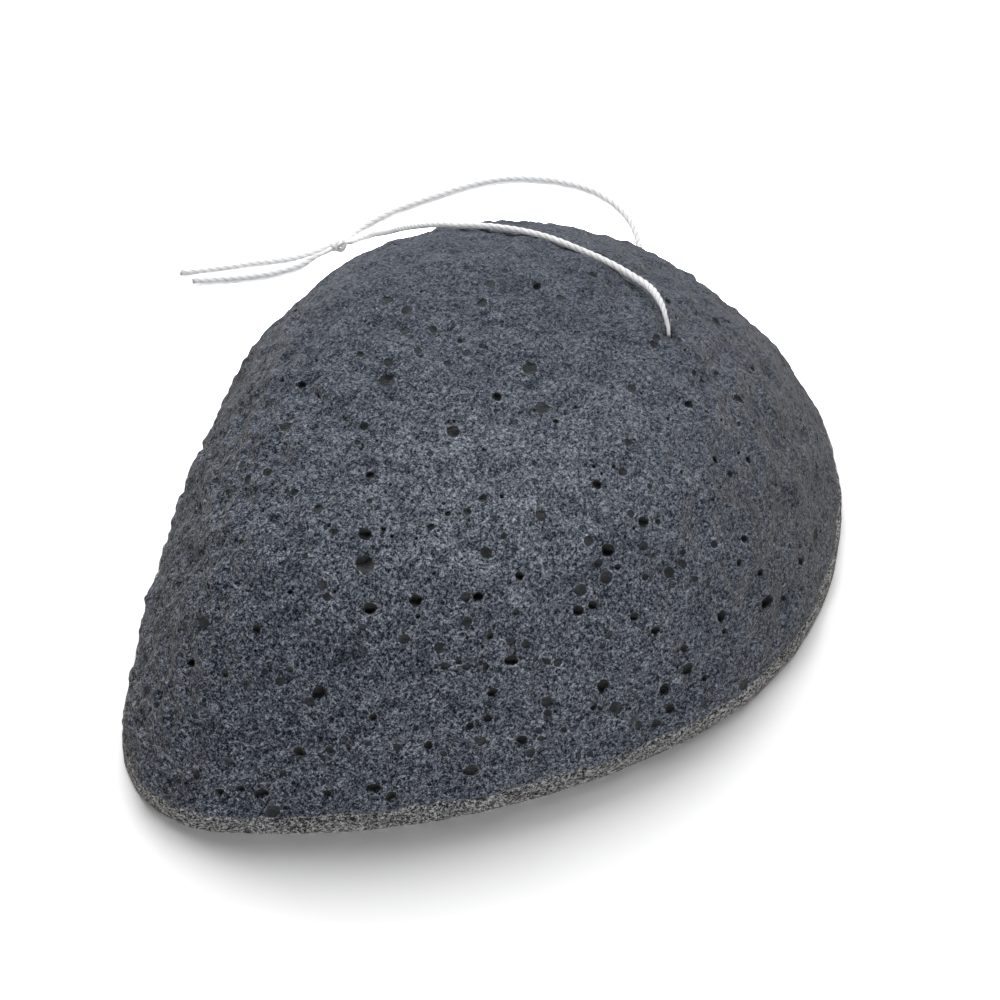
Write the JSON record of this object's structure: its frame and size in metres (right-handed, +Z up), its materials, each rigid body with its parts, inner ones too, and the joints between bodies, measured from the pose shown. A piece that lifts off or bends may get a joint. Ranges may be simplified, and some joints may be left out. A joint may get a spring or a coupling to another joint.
{
  "type": "konjac sponge",
  "caption": "Charcoal konjac facial sponge, a domed teardrop of open foam on a flat base, with a knotted white cotton hanging string through a hole near its wide end.",
  "frame": {"origin": "on the surface the sponge rests on, under the middle of its base (the middle of the foam body's length and width)", "axes": "+X from the tip to the wide end, +Y to the left flank, +Z up from the flat base to the crown"},
  "size_m": [0.1034, 0.0954, 0.032],
  "materials": {
    "konjac_foam": "matte open-cell plant-fibre foam, charcoal grey with small round pores",
    "cotton_string": "matte twisted white cotton"
  },
  "bodies": {
    "root": {"sponge_body": "konjac_foam", "string_core": "cotton_string", "string_front_run": "cotton_string", "string_back_run": "cotton_string", "string_knot": "cotton_string", "string_upper_tail": "cotton_string", "string_lower_tail": "cotton_string"}
  },
  "joints": []
}
